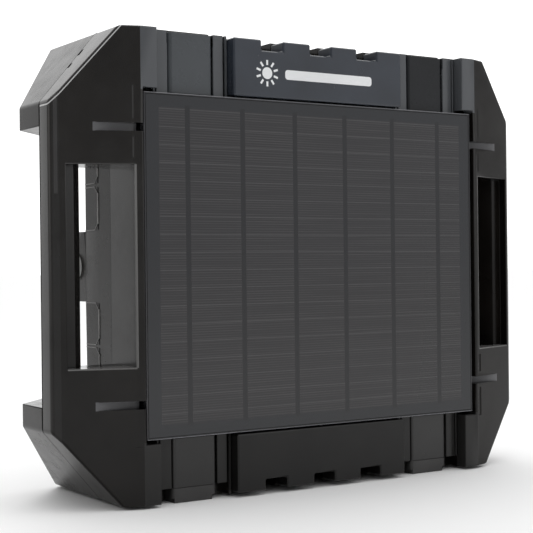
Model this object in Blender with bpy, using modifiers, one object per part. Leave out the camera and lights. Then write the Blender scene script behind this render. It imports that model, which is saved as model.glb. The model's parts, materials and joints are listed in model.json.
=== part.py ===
# Solar fence energizer: a two-shell case with carrying handles, a solar panel in its face,
# a battery and the pulse electronics inside, and a hinged service door in the back.
#
# Design frame, in millimetres: x across, y back from the panel's face, z up from mid-height.
# place() moves it to the part's own frame, in metres, with the origin on the ground under
# the middle of the case.

import math

import bmesh
import bpy
from mathutils import Matrix, Vector

# Case
half_width = 253.0
half_height = 199.5
stand_height = 202.0
front_plane = -3.0
split_plane = 46.0
rear_plane = 150.0
wall = 3.5
gap = 0.3
mid_depth = (front_plane + rear_plane) / 2

# Slanted cheeks, their outer edge, and the corners of the case
cheek_start = 183.5
cheek_slope = 0.35
cheek_end = 246.0
edge_depth = 27.0
corner_x = 200.0
corner_z = 136.5
rear_slope_sum = 343.0

# Solar panel and its pocket
panel_half_width = 179.1
panel_half_height = 145.5
panel_depth = 17.0
pocket_half_width = 181.0
pocket_half_height = 146.4
corner_slot_top = 148.6
strip_half_width = 167.3
recess_floor = 19.0

# Hand openings
opening_inner = 188.3
opening_outer = 241.7
opening_ledge = 231.5
opening_throat = 220.3
rear_throat = 221.0
opening_half_height = 84.0
grip_ledge_depth = 26.0
grip_back = 60.0

# Rear body between the corner blocks
body_side = 185.5
body_slope_sum = 289.0
side_bay_half_height = 117.0
tab_half_height = 31.3
boss_half_height = 21.0

# Inside of the case
bay_half_width = 180.0
bay_half_height = 185.0
ceiling_half_height = 195.5

# Service door
door_half_width = 112.0
door_half_height = 102.0
door_axis_x = -117.0
door_axis_y = 146.0
door_face = 149.5
door_back = 145.5
pan_floor = 140.0
door_hole_half_width = 88.0
door_hole_half_height = 88.0
hinge_heights = (-60.0, 60.0)
lock_x = 104.0
lock_heights = (-60.0, 60.0)

# Switch and terminals, on the bosses of the side walls
boss_depth = 122.7
notch_centres = (-52.0, 0.0, 52.0)
foot_inner = 107.6
foot_outer = 151.6
foot_top = 189.4
runner_end = 140.0
rail_top = 205.5


def clearScene():
    for thing in list(bpy.data.objects):
        bpy.data.objects.remove(thing, do_unlink=True)


def makeCollection(name):
    group = bpy.data.collections.new(name)
    bpy.context.scene.collection.children.link(group)
    return group


clearScene()
parts = makeCollection("fence_energizer")
cutters = makeCollection("cutters")


def makeMaterial(name, colour, roughness, metallic=0.0):
    material = bpy.data.materials.new(name)
    material.use_nodes = True
    shader = material.node_tree.nodes["Principled BSDF"]
    shader.inputs["Base Color"].default_value = (*colour, 1.0)
    shader.inputs["Roughness"].default_value = roughness
    shader.inputs["Metallic"].default_value = metallic
    return material


case_black = makeMaterial("case_black", (0.018, 0.018, 0.019), 0.32)
plate_black = makeMaterial("plate_black", (0.045, 0.05, 0.06), 0.25)
panel_glass = makeMaterial("panel_glass", (0.02, 0.02, 0.026), 0.12)
frame_black = makeMaterial("frame_black", (0.03, 0.03, 0.03), 0.4)
soft_black = makeMaterial("soft_black", (0.015, 0.015, 0.015), 0.75)
bright_metal = makeMaterial("bright_metal", (0.75, 0.75, 0.74), 0.2, 1.0)
screw_steel = makeMaterial("screw_steel", (0.5, 0.5, 0.5), 0.35, 1.0)
brass_metal = makeMaterial("brass_metal", (0.7, 0.5, 0.2), 0.3, 1.0)
heat_metal = makeMaterial("heat_metal", (0.6, 0.6, 0.62), 0.4, 1.0)
core_steel = makeMaterial("core_steel", (0.2, 0.19, 0.18), 0.6, 0.8)
winding_copper = makeMaterial("winding_copper", (0.45, 0.18, 0.08), 0.4, 0.6)
board_green = makeMaterial("board_green", (0.02, 0.12, 0.05), 0.45)
battery_grey = makeMaterial("battery_grey", (0.12, 0.12, 0.13), 0.55)
film_blue = makeMaterial("film_blue", (0.03, 0.07, 0.2), 0.35)
fence_red = makeMaterial("fence_red", (0.45, 0.02, 0.015), 0.4)
earth_green = makeMaterial("earth_green", (0.02, 0.2, 0.05), 0.4)
lamp_green = makeMaterial("lamp_green", (0.1, 0.5, 0.15), 0.15)


def place(x, y, z):
    return Vector((x, y - mid_depth, z + stand_height)) / 1000


def addObject(name, mesh, at, material):
    # A piece has a material; a cutter has none and is kept out of the build.
    thing = bpy.data.objects.new(name, mesh)
    thing.location = at
    if material is None:
        cutters.objects.link(thing)
        thing.hide_render = True
        thing.display_type = "WIRE"
    else:
        parts.objects.link(thing)
        mesh.materials.append(material)
    return thing


def meshFrom(name, shape):
    mesh = bpy.data.meshes.new(name)
    shape.to_mesh(mesh)
    shape.free()
    return mesh


def box(name, low, high, material=None):
    # An upright box between two corners, with its origin in its middle.
    centre = [(a + b) / 2 for a, b in zip(low, high)]
    size = [(b - a) / 1000 for a, b in zip(low, high)]
    shape = bmesh.new()
    bmesh.ops.create_cube(shape, size=1.0, matrix=Matrix.Diagonal((*size, 1.0)))
    return addObject(name, meshFrom(name, shape), place(*centre), material)


def turnTo(axis):
    turns = {
        "x": Matrix.Rotation(math.radians(90), 4, "Y"),
        "y": Matrix.Rotation(math.radians(-90), 4, "X"),
        "z": Matrix.Identity(4),
    }
    return turns[axis]


def rod(name, centre, radius, length, axis, material=None, sides=20):
    # A cylinder along one axis.
    shape = bmesh.new()
    bmesh.ops.create_cone(
        shape, cap_ends=True, segments=sides, radius1=radius / 1000,
        radius2=radius / 1000, depth=length / 1000, matrix=turnTo(axis))
    thing = addObject(name, meshFrom(name, shape), place(*centre), material)
    smooth(thing)
    return thing


def smooth(thing, angle=35):
    thing.data.shade_smooth()
    thing.data.set_sharp_from_angle(angle=math.radians(angle))


def outline(name, points, low, high, material=None):
    # A flat outline of (x, y) points, given height between two levels.
    curve = bpy.data.curves.new(name, "CURVE")
    curve.dimensions = "2D"
    curve.fill_mode = "BOTH"
    curve.extrude = (high - low) / 2000
    path = curve.splines.new("POLY")
    path.points.add(len(points) - 1)
    path.use_cyclic_u = True
    for knot, (x, y) in zip(path.points, points):
        spot = place(x, y, 0)
        knot.co = (spot.x, spot.y, 0, 1)
    guide = bpy.data.objects.new(name + "_guide", curve)
    bpy.context.scene.collection.objects.link(guide)
    guide.location = (0, 0, place(0, 0, (low + high) / 2).z)
    bpy.context.view_layer.update()
    evaluated = guide.evaluated_get(bpy.context.evaluated_depsgraph_get())
    mesh = bpy.data.meshes.new_from_object(evaluated)
    mesh.transform(guide.matrix_world)
    bpy.data.objects.remove(guide, do_unlink=True)
    shape = bmesh.new()
    shape.from_mesh(mesh)
    bmesh.ops.remove_doubles(shape, verts=shape.verts, dist=1e-6)
    bmesh.ops.recalc_face_normals(shape, faces=shape.faces)
    shape.to_mesh(mesh)
    shape.free()
    mesh.name = name
    mesh.materials.clear()
    return addObject(name, mesh, (0, 0, 0), material)


def useBoolean(thing, other, operation):
    step = thing.modifiers.new(operation.lower(), "BOOLEAN")
    step.operation = operation
    step.solver = "EXACT"
    step.object = other


def cut(thing, *others):
    for other in others:
        useBoolean(thing, other, "DIFFERENCE")


def join(thing, *others):
    for other in others:
        useBoolean(thing, other, "UNION")


def roundEdges(thing, width, segments=2, angle=40):
    step = thing.modifiers.new("rounded", "BEVEL")
    step.width = width / 1000
    step.segments = segments
    step.limit_method = "ANGLE"
    step.angle_limit = math.radians(angle)
    thing.data.shade_smooth()
    thing.data.set_sharp_from_angle(angle=math.radians(35))


def pivotAt(thing, point):
    # Puts a moving piece's origin on its joint's axis and leaves its shape where it is.
    shift = point - thing.location
    thing.data.transform(Matrix.Translation(-shift))
    thing.location = point


def sliced(shape, planes):
    # Keeps what lies behind each plane and closes the cut.
    for point, normal in planes:
        everything = shape.verts[:] + shape.edges[:] + shape.faces[:]
        bmesh.ops.bisect_plane(
            shape, geom=everything, plane_co=point, plane_no=normal,
            clear_outer=True, dist=1e-7)
        rim = [edge for edge in shape.edges if edge.is_boundary]
        bmesh.ops.holes_fill(shape, edges=rim, sides=0)
    bmesh.ops.recalc_face_normals(shape, faces=shape.faces)


def casePlanes(inset):
    # The slanted planes of the outer case, moved inwards by the inset.
    edge_run = half_width - cheek_end
    edge_rise = edge_depth - cheekDepth(cheek_end)
    chamfer_run = half_width - corner_x
    chamfer_rise = half_height - corner_z
    planes = []
    for side in (-1, 1):
        slants = [
            ((side * cheek_start, front_plane, 0), (side * cheek_slope, -1, 0)),
            ((side * half_width, edge_depth, 0), (side * edge_rise, -edge_run, 0)),
            ((side * half_width, rear_slope_sum - half_width, 0), (side, 1, 0)),
        ]
        for level in (-1, 1):
            slants.append(((side * corner_x, 0, level * half_height),
                           (side * chamfer_rise, 0, level * chamfer_run)))
        for point, normal in slants:
            normal = Vector(normal).normalized()
            planes.append((place(*point) - normal * inset / 1000, normal))
    return planes


def cheekDepth(x):
    return front_plane + cheek_slope * (x - cheek_start)


def caseBlock(name, inset, front, back, material=None, keep=()):
    # The whole outer form of the case between two depths, as one convex block.
    reach = half_width - inset
    rise = half_height - inset
    low = place(-reach, front, -rise)
    high = place(reach, back, rise)
    shape = bmesh.new()
    size = high - low
    middle = Matrix.Translation((low + high) / 2)
    bmesh.ops.create_cube(shape, size=1.0, matrix=middle @ Matrix.Diagonal((*size, 1.0)))
    sliced(shape, casePlanes(inset) + list(keep))
    return addObject(name, meshFrom(name, shape), (0, 0, 0), material)


def cornerPocket(name, side, level, inner_x, inner_z, front, back):
    # The hollow of one corner of the case, bounded by its own two inner walls.
    keep = [
        (place(side * inner_x, 0, 0), Vector((-side, 0, 0))),
        (place(0, 0, level * inner_z), Vector((0, 0, -level))),
    ]
    return caseBlock(name, wall, front, back, keep=keep)


def spanned(side, low, high):
    # A range given for the right side, turned round for the left one.
    return (low, high) if side > 0 else (-high, -low)


def sideBox(name, side, x_range, y_range, z_range):
    x_low, x_high = spanned(side, *x_range)
    return box(name, (x_low, y_range[0], z_range[0]), (x_high, y_range[1], z_range[1]))


def cornerBox(name, side, level, x_range, y_range, z_range):
    return sideBox(name, side, x_range, y_range, spanned(level, *z_range))


def mirrored(side, points):
    return [(side * x, y) for x, y in points]


def softFront(x_range, y_range, inner_radius, outer_radius):
    # A plan with both of its front corners rounded, as (x, y) points.
    steps = 4
    points = [(x_range[1], y_range[1]), (x_range[0], y_range[1])]
    for step in range(steps + 1):
        angle = math.radians(90 * step / steps)
        points.append((x_range[0] + inner_radius * (1 - math.cos(angle)),
                       y_range[0] + inner_radius * (1 - math.sin(angle))))
    for step in range(steps + 1):
        angle = math.radians(90 * step / steps)
        points.append((x_range[1] - outer_radius * (1 - math.sin(angle)),
                       y_range[0] + outer_radius * (1 - math.cos(angle))))
    return points


sides = {"left": -1, "right": 1}
levels = {"bottom": -1, "top": 1}
corners = [(side, level) for side in (-1, 1) for level in (-1, 1)]
back_limit = 170.0
slot_end = 220.3
groove_axis = (189.2, -6.15)
groove_radius = 5.66
rear_screw = (158.0, 158.0)
flange_screw = (206.0, 101.0)
post_points = [(-74.0, 30.0), (74.0, 30.0), (-74.0, 112.0), (74.0, 112.0)]
post_end = 44.0


def makeFrontShell():
    shell = caseBlock("front_shell", 0, front_plane, split_plane - gap / 2, case_black)
    outside = -10.0
    cut(shell, box("pocket_cut", (-pocket_half_width, outside, -pocket_half_height),
                   (pocket_half_width, recess_floor, pocket_half_height)))
    for level in (-1, 1):
        z_range = spanned(level, pocket_half_height - 1, half_height + 5)
        cut(shell, box("strip_cut", (-strip_half_width, outside, z_range[0]),
                       (strip_half_width, 8.0, z_range[1])))
        cut(shell, box("plate_seat_cut", (-93.2, outside, z_range[0]),
                       (93.2, recess_floor, z_range[1])))
    for side, level in corners:
        # Deep grooves leave two ribs and two flutes beside each cover block.
        for groove in ((95.2, 97.0), (107.0, 152.0), (162.8, 164.2),
                       (165.8, strip_half_width)):
            cut(shell, cornerBox("groove_cut", side, level, groove, (outside, recess_floor),
                                 (pocket_half_height - 1, half_height + 5)))
        cut(shell, cornerBox("corner_slot_cut", side, level,
                             (strip_half_width, pocket_half_width), (outside, recess_floor),
                             (pocket_half_height - 1, corner_slot_top)))
        # Runner seats along the top and the bottom.
        cut(shell, cornerBox("runner_cut", side, level, (foot_inner - 1, foot_outer + 1),
                             (outside, back_limit), (foot_top - gap, half_height + 5)))
        makeCheekCuts(shell, side, level)
    for side in (-1, 1):
        cut(shell, sideBox("low_flute_cut", side, (95.2, strip_half_width), (outside, recess_floor),
                           (-half_height - 5, -foot_top + gap)))
        cut(shell, outline("opening_cut", mirrored(side, [
            (opening_inner, outside), (opening_outer, outside),
            (opening_outer, grip_ledge_depth), (opening_ledge, grip_ledge_depth),
            (opening_throat, 40.0), (opening_throat, grip_back), (opening_inner, grip_back)]),
            -opening_half_height, opening_half_height))
    for x in notch_centres:
        for level in (-1, 1):
            z_range = spanned(level, 188.5, half_height + 5)
            cut(shell, box("channel_cut", (x - 11.5, outside, z_range[0]),
                           (x + 11.5, back_limit, z_range[1])))
    hollowFrontShell(shell)
    return shell


def makeCheekCuts(shell, side, level):
    # A slot with a flat floor that runs into the panel's pocket, and two shallow grooves
    # in line with it.
    outside = -10.0
    cut(shell, cornerBox("slot_cut", side, level, (pocket_half_width - 1, slot_end),
                         (outside, cheekDepth(slot_end)), (111.8, 118.8)))
    for low, high in ((122.3, 150.0), (90.0, 107.0)):
        cut(shell, rod("shallow_groove_cut",
                       (side * groove_axis[0], groove_axis[1], level * (low + high) / 2),
                       groove_radius, high - low, "z", sides=48))


def hollowFrontShell(shell):
    inner_floor = recess_floor + wall
    behind = split_plane + 20
    cut(shell, box("bay_cut", (-bay_half_width, inner_floor, -bay_half_height),
                   (bay_half_width, behind, bay_half_height)))
    makeCeilingCuts(shell, inner_floor, behind)
    for side, level in corners:
        cut(shell, cornerBox("column_cut", side, level, (172.0, bay_half_width),
                             (front_plane + wall, behind), (152.1, bay_half_height)))
        pocket = cornerPocket("wing_cut", side, level, 184.0, 87.5, front_plane, behind)
        cut(pocket, cornerBox("slot_guard", side, level, (175.0, slot_end + wall),
                              (-10.0, cheekDepth(slot_end) + wall), (108.3, 122.3)))
        cut(pocket, rod("wing_post_guard", (side * flange_screw[0], 25.0, level * flange_screw[1]),
                        6.0, 80.0, "y", sides=12))
        cut(shell, pocket)
        drillPost(shell, side * flange_screw[0], level * flange_screw[1], 24.0)
        join(shell, rod("rear_screw_post", (side * rear_screw[0], 33.75, level * rear_screw[1]),
                        6.0, 24.0, "y", sides=12))
        drillPost(shell, side * rear_screw[0], level * rear_screw[1], 24.0)
    for x, z in post_points:
        middle = (inner_floor - 1 + post_end) / 2
        join(shell, rod("board_post", (x, middle, z), 4.0, post_end - inner_floor + 1, "y",
                        sides=12))
        cut(shell, rod("board_post_hole", (x, post_end - 5, z), 1.6, 14.0, "y", sides=8))
    # The lead of the solar panel comes through here.
    cut(shell, rod("lead_hole", (0, recess_floor + 2, -40), 4.0, 20.0, "y", sides=12))


def makeCeilingCuts(shell, front, back):
    # Between the runner seats and the channels, the top and bottom walls are hollowed out.
    for level in (-1, 1):
        z_range = spanned(level, bay_half_height - 1, ceiling_half_height)
        for x_range in ((-37.0, -15.0), (15.0, 37.0)):
            cut(shell, box("ceiling_cut", (x_range[0], front, z_range[0]),
                           (x_range[1], back, z_range[1])))
        for side in (-1, 1):
            for x_range in ((67.0, 104.0), (155.5, bay_half_width)):
                cut(shell, sideBox("ceiling_cut", side, x_range, (front, back), z_range))


def drillPost(shell, x, z, start):
    length = split_plane + 5 - start
    cut(shell, rod("post_hole", (x, start + length / 2, z), 2.3, length, "y", sides=10))


def makeRearShell():
    front = split_plane + gap / 2
    shell = caseBlock("rear_shell", 0, front, rear_plane, case_black)
    flange_back = front + wall
    for side in (-1, 1):
        # The bay beside the body, which leaves the flange and the back half of the handle.
        bay = outline("side_bay_cut", mirrored(side, [
            (body_side, flange_back), (rear_throat, flange_back), (rear_throat, grip_back),
            (239.0, grip_back), (half_width + 0.6, split_plane - 0.6), (270.0, split_plane - 0.6),
            (270.0, 200.0), (body_slope_sum - 200, 200.0),
            (body_side, body_slope_sum - body_side)]),
            -side_bay_half_height, side_bay_half_height)
        cut(bay, sideBox("tab_guard", side, (120.0, body_side), (90.0, 121.0),
                         (-tab_half_height, tab_half_height)))
        cut(bay, sideBox("boss_guard", side, (120.0, body_side), (90.0, 139.0),
                         (-boss_half_height, boss_half_height)))
        cut(shell, bay)
        cut(shell, sideBox("rear_opening_cut", side, (opening_inner, rear_throat), (40.0, 62.0),
                           (-opening_half_height, opening_half_height)))
    for z_range in ((73.4, 112.0), (32.3, 70.0), (-68.8, -32.3), (-112.0, -71.6)):
        # Low pads on the side wall behind the left handle.
        join(shell, sideBox("pad", -1, (body_side - 1, body_side + 0.5), (76.0, 100.0), z_range))
    hollowRearShell(shell)
    makeDoorSeat(shell)
    for side, level in corners:
        cut(shell, cornerBox("runner_cut", side, level, (foot_inner - 1, foot_outer + 1),
                             (0.0, runner_end + gap), (foot_top - gap, half_height + 5)))
        cut(shell, rod("flange_hole", (side * flange_screw[0], 48.0, level * flange_screw[1]),
                       2.5, 12.0, "y", sides=10))
        makeScrewTube(shell, side * rear_screw[0], level * rear_screw[1])
    makeSideFittings(shell)
    return shell


def hollowRearShell(shell):
    front = split_plane - 10
    inner_sum = body_slope_sum - wall * math.sqrt(2)
    inner_side = body_side - wall
    inner_back = rear_plane - wall
    bay = outline("body_cut", [
        (-inner_side, front), (inner_side, front), (inner_side, inner_sum - inner_side),
        (inner_sum - inner_back, inner_back), (inner_back - inner_sum, inner_back),
        (-inner_side, inner_sum - inner_side)], -bay_half_height, bay_half_height)
    cut(bay, box("pan_guard", (-127.5, pan_floor - wall, -108.5), (118.5, back_limit, 108.5)))
    cut(shell, bay)
    makeCeilingCuts(shell, front, inner_back)
    for side, level in corners:
        cut(shell, cornerBox("band_cut", side, level, (130.0, inner_side),
                             (front, inner_back), (side_bay_half_height + wall, bay_half_height)))
        cut(shell, cornerPocket("ear_cut", side, level, 189.0, side_bay_half_height + wall,
                                front, rear_plane))
    for side in (-1, 1):
        cut(shell, sideBox("boss_hollow_cut", side, (148.0, inner_side), (100.0, 135.5),
                           (-boss_half_height + wall, boss_half_height - wall)))


def makeDoorSeat(shell):
    cut(shell, box("pan_cut", (-124.0, pan_floor, -105.0), (115.0, back_limit, 105.0)))
    cut(shell, box("door_hole_cut", (-door_hole_half_width, 130.0, -door_hole_half_height),
                   (door_hole_half_width, pan_floor + 5, door_hole_half_height)))
    for z in lock_heights:
        cut(shell, rod("lock_hole_cut", (lock_x, 138.0, z), 4.2, 12.0, "y", sides=16))
    for z in hinge_heights:
        for side in (-1, 1):
            middle = z + side * 10.2
            join(shell, box("knuckle_foot", (-120.5, pan_floor - 1, middle - 3.8),
                            (-113.5, door_axis_y, middle + 3.8)))
            join(shell, rod("knuckle", (door_axis_x, door_axis_y, middle), 3.5, 7.6, "z",
                            sides=16))
        cut(shell, rod("pin_hole_cut", (door_axis_x, door_axis_y, z), 1.8, 40.0, "z", sides=12))


def makeScrewTube(shell, x, z):
    # A long screw reaches the front shell through a tube from the back.
    seat = 54.0
    tube_front = split_plane + gap / 2
    tube_back = rear_plane - wall + 1
    join(shell, rod("screw_tube", (x, (tube_front + tube_back) / 2, z), 7.0,
                    tube_back - tube_front, "y", sides=12))
    cut(shell, rod("tube_bore", (x, (seat + back_limit) / 2, z), 4.4, back_limit - seat, "y",
                   sides=12))
    cut(shell, rod("tube_hole", (x, 48.0, z), 2.5, 16.0, "y", sides=10))


terminal_heights = {"fence": 50.0, "earth": -50.0}
terminal_depth = 82.0
socket_spot = (82.0, 0.0)
lamp_spot = (60.0, 0.0)


def makeSideFittings(shell):
    cut(shell, rod("switch_hole", (-body_side, boss_depth, 0), 9.5, 20.0, "x", sides=24))
    for z in terminal_heights.values():
        cut(shell, rod("terminal_hole", (body_side, terminal_depth, z), 7.0, 20.0, "x", sides=16))
    cut(shell, rod("socket_hole", (body_side, socket_spot[0], socket_spot[1]), 8.0, 20.0, "x",
                   sides=16))
    cut(shell, rod("lamp_hole", (body_side, boss_depth, 0), 3.5, 20.0, "x", sides=12))


def makeCaseSeal():
    # A square cord round the inside of the joint between the two shells.
    seal = box("case_seal", (-179.7, 43.0, -184.7), (179.7, 49.0, 184.7), soft_black)
    cut(seal, box("seal_cut", (-176.5, 40.0, -181.5), (176.5, 52.0, 181.5)))


def makePanel():
    frame = box("panel_frame", (-panel_half_width, 0.0, -panel_half_height),
                (panel_half_width, panel_depth, panel_half_height), frame_black)
    lip = 1.6
    cut(frame, box("panel_cut", (-panel_half_width + lip, -5.0, -panel_half_height + lip),
                   (panel_half_width - lip, 4.0, panel_half_height - lip)))
    cut(frame, box("panel_back_cut", (-panel_half_width + 14, -5.0, -panel_half_height + 14),
                   (panel_half_width - 14, 30.0, panel_half_height - 14)))
    edge = lip + gap
    box("panel_laminate", (-panel_half_width + edge, 0.2, -panel_half_height + edge),
        (panel_half_width - edge, 3.7, panel_half_height - edge), panel_glass)
    junction = box("panel_junction_box", (-30.0, 4.0, -60.0), (30.0, 15.0, -20.0), frame_black)
    roundEdges(junction, 1.5, 1)


def makeCoverPlate(name, level):
    # A notched cover with a bevelled rim, hollow from behind.
    edge_in, edge_out, notch_floor = 147.2, 197.7, 188.3
    half_plate, half_notch, plate_face, plate_back = 92.2, 11.2, -2.5, recess_floor - gap
    z_range = spanned(level, edge_in, edge_out)
    plate = box(name, (-half_plate, plate_face, z_range[0]), (half_plate, plate_back, z_range[1]),
                plate_black)
    for x in notch_centres:
        z_notch = spanned(level, notch_floor, edge_out + 5)
        cut(plate, box("notch_cut", (x - half_notch, -10.0, z_notch[0]),
                       (x + half_notch, 30.0, z_notch[1])))
    roundEdges(plate, 1.2, 1)
    z_hollow = spanned(level, edge_in + 3, notch_floor - 3)
    cut(plate, box("plate_hollow_cut", (-half_plate + 3, plate_face + 3, z_hollow[0]),
                   (half_plate - 3, 30.0, z_hollow[1])))


def makeBlocks():
    block_edge = 146.8
    for side_name, side in sides.items():
        plan = mirrored(side, softFront((108.2, 151.3), (7.5, recess_floor - gap), 3.0, 4.0))
        top = outline("cover_block_top_" + side_name, plan, block_edge, 198.5, case_black)
        cut(top, cornerBox("runner_room_cut", side, 1, (100.0, 160.0), (12.7, 40.0),
                           (foot_top - gap * 2, 210.0)))
        roundEdges(top, 0.6, 1)
        low = outline("cover_block_bottom_" + side_name, plan, gap - foot_top, -block_edge,
                      case_black)
        roundEdges(low, 0.6, 1)


def makeRunners():
    # Rubber runners carry the case on the ground and let another one stand on top of it.
    for side_name, side in sides.items():
        low = outline("foot_bottom_" + side_name,
                      mirrored(side, softFront((foot_inner, foot_outer), (8.0, runner_end), 4.0, 4.0)),
                      -198.0, -foot_top, soft_black)
        sole = (-149.3, -112.9) if side < 0 else (109.6, 146.2)
        join(low, box("sole", (sole[0], 8.0, -stand_height), (sole[1], runner_end, -197.0)))
        top = outline("foot_top_" + side_name,
                      mirrored(side, softFront((foot_inner, foot_outer), (13.0, runner_end), 2.0, 2.0)),
                      foot_top, half_height + 1, soft_black)
        join(top, sideBox("rail", side, (99.5, 152.7), (39.0, runner_end),
                          (half_height + gap, rail_top)))


def makeDoor():
    door = box("service_door", (-112.5, door_back, -door_half_height),
               (door_half_width, door_face, door_half_height), case_black)
    spigot = box("spigot", (-door_hole_half_width + 1.5, 137.0, -door_hole_half_height + 1.5),
                 (door_hole_half_width - 1.5, door_back + 1, door_hole_half_height - 1.5))
    join(door, spigot)
    cut(door, box("spigot_cut", (-door_hole_half_width + 4.5, 130.0, -door_hole_half_height + 4.5),
                  (door_hole_half_width - 4.5, door_back, door_hole_half_height - 4.5)))
    for z in lock_heights:
        cut(door, rod("lock_bore", (lock_x, 155.0, z), 7.5, 16.0, "y", sides=24))
        cut(door, rod("lock_stem_hole", (lock_x, 145.0, z), 3.7, 20.0, "y", sides=16))
    for z in hinge_heights:
        join(door, box("door_leaf", (door_axis_x, 144.0, z - 6.0), (-112.0, 148.0, z + 6.0)))
        join(door, rod("door_knuckle", (door_axis_x, door_axis_y, z), 3.5, 12.0, "z", sides=16))
        cut(door, rod("door_pin_hole", (door_axis_x, door_axis_y, z), 1.8, 40.0, "z", sides=12))
    # Raised ribs stiffen the face.
    for z in (-66.0, -22.0, 22.0, 66.0):
        cut(door, box("rib_cut", (-80.0, door_face - 1.0, z - 16.0),
                      (80.0, door_face + 5, z + 16.0)))
    pivotAt(door, place(door_axis_x, door_axis_y, 0))
    seal = box("door_seal", (-96.0, pan_floor + gap, -96.0), (96.0, door_back - gap, 96.0),
               soft_black)
    cut(seal, box("door_seal_cut", (-90.0, 130.0, -90.0), (90.0, 150.0, 90.0)))
    for name, z in zip(("lower", "upper"), hinge_heights):
        rod("hinge_pin_" + name, (door_axis_x, door_axis_y, z), 1.4, 27.0, "z", screw_steel,
            sides=12)
    for name, z in zip(("lower", "upper"), lock_heights):
        makeDoorLock("door_lock_" + name, z)


def makeDoorLock(name, z):
    # A quarter-turn lock: a flush disc with a coin slot, and its stem through the door.
    disc_back = 147.3
    lock = rod(name, (lock_x, (disc_back + door_face) / 2, z), 7.0, door_face - disc_back, "y",
               bright_metal, sides=24)
    join(lock, rod("lock_stem", (lock_x, 141.0, z), 3.2, 14.0, "y", sides=16))
    cut(lock, box("coin_slot", (lock_x - 5, door_face - 1.0, z - 0.9),
                  (lock_x + 5, door_face + 2, z + 0.9)))


def makeSwitch():
    # A metal push button in the left boss, seen through the left hand opening.
    face = -body_side - gap
    ring = rod("switch_ring", (face - 1.2, boss_depth, 0), 12.0, 2.4, "x", bright_metal, sides=32)
    cut(ring, rod("ring_hole", (face, boss_depth, 0), 7.8, 20.0, "x", sides=32))
    barrel = rod("switch_body", (-170.0, boss_depth, 0), 9.0, 28.0, "x", bright_metal, sides=24)
    cut(barrel, rod("barrel_bore", (-180.0, boss_depth, 0), 7.8, 20.0, "x", sides=32))
    nut = rod("switch_nut", (-179.2, boss_depth, 0), 11.6, 5.0, "x", screw_steel, sides=6)
    cut(nut, rod("nut_hole", (-179.2, boss_depth, 0), 9.3, 20.0, "x", sides=24))
    button = rod("push_button", (-181.2, boss_depth, 0), 7.4, 11.6, "x", frame_black, sides=32)
    roundEdges(button, 0.5, 1)


def makeTerminals():
    knob_materials = {"fence": fence_red, "earth": earth_green}
    wall_face = body_side + gap
    for name, z in terminal_heights.items():
        bush = rod(name + "_bush", (body_side - 2.0, terminal_depth, z), 6.7, 20.0, "x",
                   frame_black, sides=16)
        join(bush, rod("bush_flange", (wall_face + 1.5, terminal_depth, z), 9.5, 3.0, "x",
                       sides=24))
        cut(bush, rod("bush_bore", (body_side, terminal_depth, z), 3.3, 60.0, "x", sides=16))
        rod(name + "_stud", (body_side + 4.0, terminal_depth, z), 3.0, 44.0, "x", brass_metal,
            sides=12)
        makeTerminalKnob(name + "_knob", z, knob_materials[name])


def makeTerminalKnob(name, z, material):
    # A fluted clamping knob on the stud.
    start = body_side + 11.0
    knob = rod(name, (start + 9.0, terminal_depth, z), 11.0, 18.0, "x", material, sides=24)
    roundEdges(knob, 1.0, 1, 50)
    for turn in range(6):
        angle = math.radians(60 * turn)
        cut(knob, rod("flute_cut", (start + 9.0, terminal_depth + 12.4 * math.cos(angle),
                                    z + 12.4 * math.sin(angle)), 3.0, 30.0, "x", sides=10))
    cut(knob, rod("knob_bore", (start, terminal_depth, z), 3.4, 36.0, "x", sides=16))


cap_axis = (body_side + 3.2, socket_spot[0], 12.6)


def makeChargeSocket():
    socket = rod("charge_socket", (body_side - 6.0, socket_spot[0], 0), 7.7, 20.0, "x",
                 frame_black, sides=20)
    cut(socket, rod("socket_bore", (body_side + 2.0, socket_spot[0], 0), 5.0, 16.0, "x",
                    sides=20))
    cap = rod("socket_cap", (body_side + 6.6, socket_spot[0], 0), 9.5, 4.4, "x", soft_black,
              sides=24)
    join(cap, box("cap_strap", (body_side + 4.4, socket_spot[0] - 3.0, 6.0),
                  (body_side + 7.0, socket_spot[0] + 3.0, 13.4)))
    pivotAt(cap, place(*cap_axis))
    lens = rod("pulse_lamp", (body_side - 1.0, boss_depth, 0), 3.2, 9.0, "x", lamp_green,
               sides=16)
    roundEdges(lens, 0.8, 1)


def makeBattery():
    low, high = (-75.5, 30.0, -86.0), (75.5, 124.0, 9.0)
    battery = box("battery", low, high, battery_grey)
    roundEdges(battery, 2.0, 1)
    for name, x in (("minus", -60.0), ("plus", 60.0)):
        box("battery_tab_" + name, (x - 3.0, 100.0, high[2] + gap), (x + 3.0, 112.0, 17.0),
            bright_metal)
    strap = box("battery_strap", (-79.5, 66.0, -89.5), (79.5, 90.0, 12.5), heat_metal)
    cut(strap, box("strap_cut", (-76.0, 50.0, -86.5), (76.0, 100.0, 9.5)))


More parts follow.
